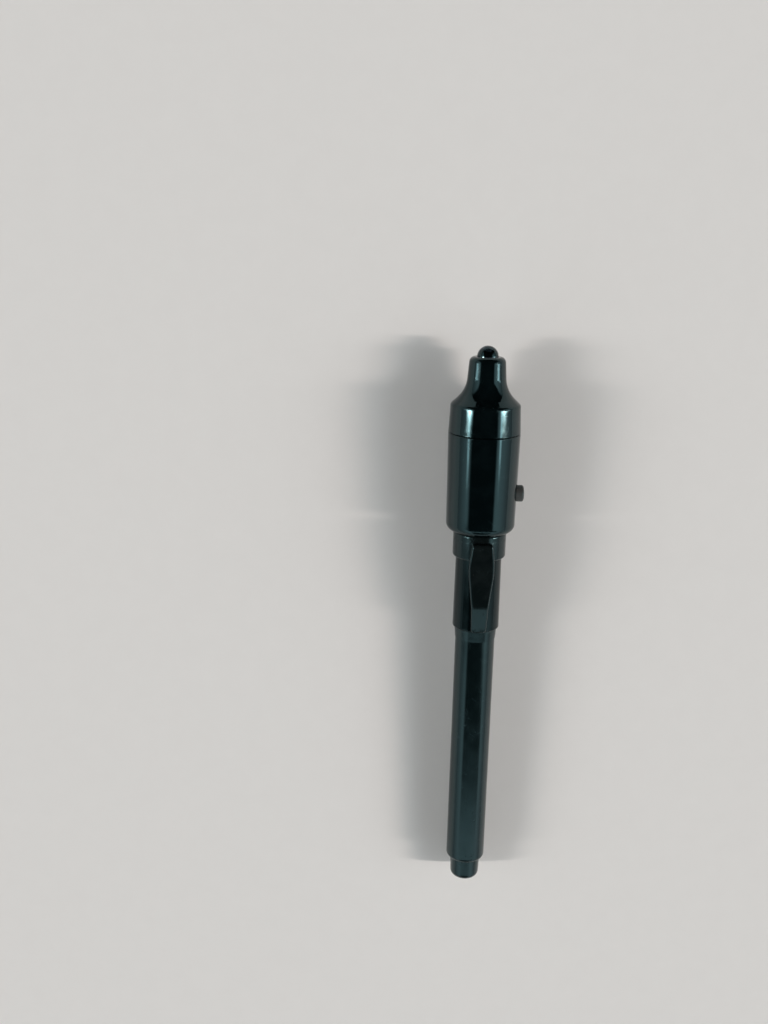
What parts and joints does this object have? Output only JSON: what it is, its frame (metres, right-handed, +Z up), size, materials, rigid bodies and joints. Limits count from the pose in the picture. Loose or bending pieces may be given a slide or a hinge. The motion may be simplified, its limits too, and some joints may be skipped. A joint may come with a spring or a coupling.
{
  "type": "invisible ink pen",
  "caption": "Slim fibre-tip pen with a pull-off cap that carries a violet lamp, a side push button, a screw-off nose and a pocket clip.",
  "frame": {"origin": "on the table under the middle of the pen's box", "axes": "+Y along the pen towards the lamp, +Z up through the clip, +X towards the button; the pen's own axis rises a little towards the lamp because it lies on two rims"},
  "size_m": [0.0186, 0.1392, 0.0176],
  "materials": {
    "cap_plastic": "glossy black",
    "barrel_plastic": "black, softer gloss",
    "button_plastic": "dark brown-grey",
    "holder_plastic": "satin black",
    "carrier_plastic": "satin off-white",
    "nib_fibre": "pressed fibre",
    "reservoir_fibre": "soft fibre",
    "reservoir_wrap": "thin milky film",
    "cell_steel": "nickel-plated",
    "spring_steel": "bright wire",
    "contact_brass": "bright strip",
    "lead_tin": "tinned",
    "led_epoxy": "clear with a violet cast"
  },
  "bodies": {
    "pen": {"barrel": "barrel_plastic", "tail_plug": "barrel_plastic", "ink_reservoir": "reservoir_fibre", "reservoir_film": "reservoir_wrap", "nib_holder": "holder_plastic", "nib": "nib_fibre"},
    "cap": {"cap_sleeve": "cap_plastic", "pocket_clip": "cap_plastic", "lamp_body": "cap_plastic", "battery_carrier": "carrier_plastic", "battery_strip": "contact_brass", "battery_spring": "spring_steel", "button_cell_1": "cell_steel", "button_cell_2": "cell_steel", "button_cell_3": "cell_steel", "switch_leaf": "contact_brass", "led_anode": "lead_tin", "led_cathode": "lead_tin", "uv_led": "led_epoxy", "led_holder": "holder_plastic"},
    "button": {"push_button": "button_plastic"},
    "nose": {"nose_cone": "cap_plastic"}
  },
  "joints": [
    {"name": "cap_pull", "type": "slide", "parent": "pen", "child": "cap", "axis": [0, 0.9993, 0.0377], "range_m": [0, 0.03]},
    {"name": "button_press", "type": "slide", "parent": "cap", "child": "button", "axis": [-1, 0, 0], "range_m": [0, 0.0006], "stiffness_N_per_m": 1500, "springref_m": -0.0003, "deforming": ["switch_leaf"]},
    {"name": "nose_off", "type": "slide", "parent": "cap", "child": "nose", "axis": [0, 0.9993, 0.0377], "range_m": [0, 0.028]}
  ]
}
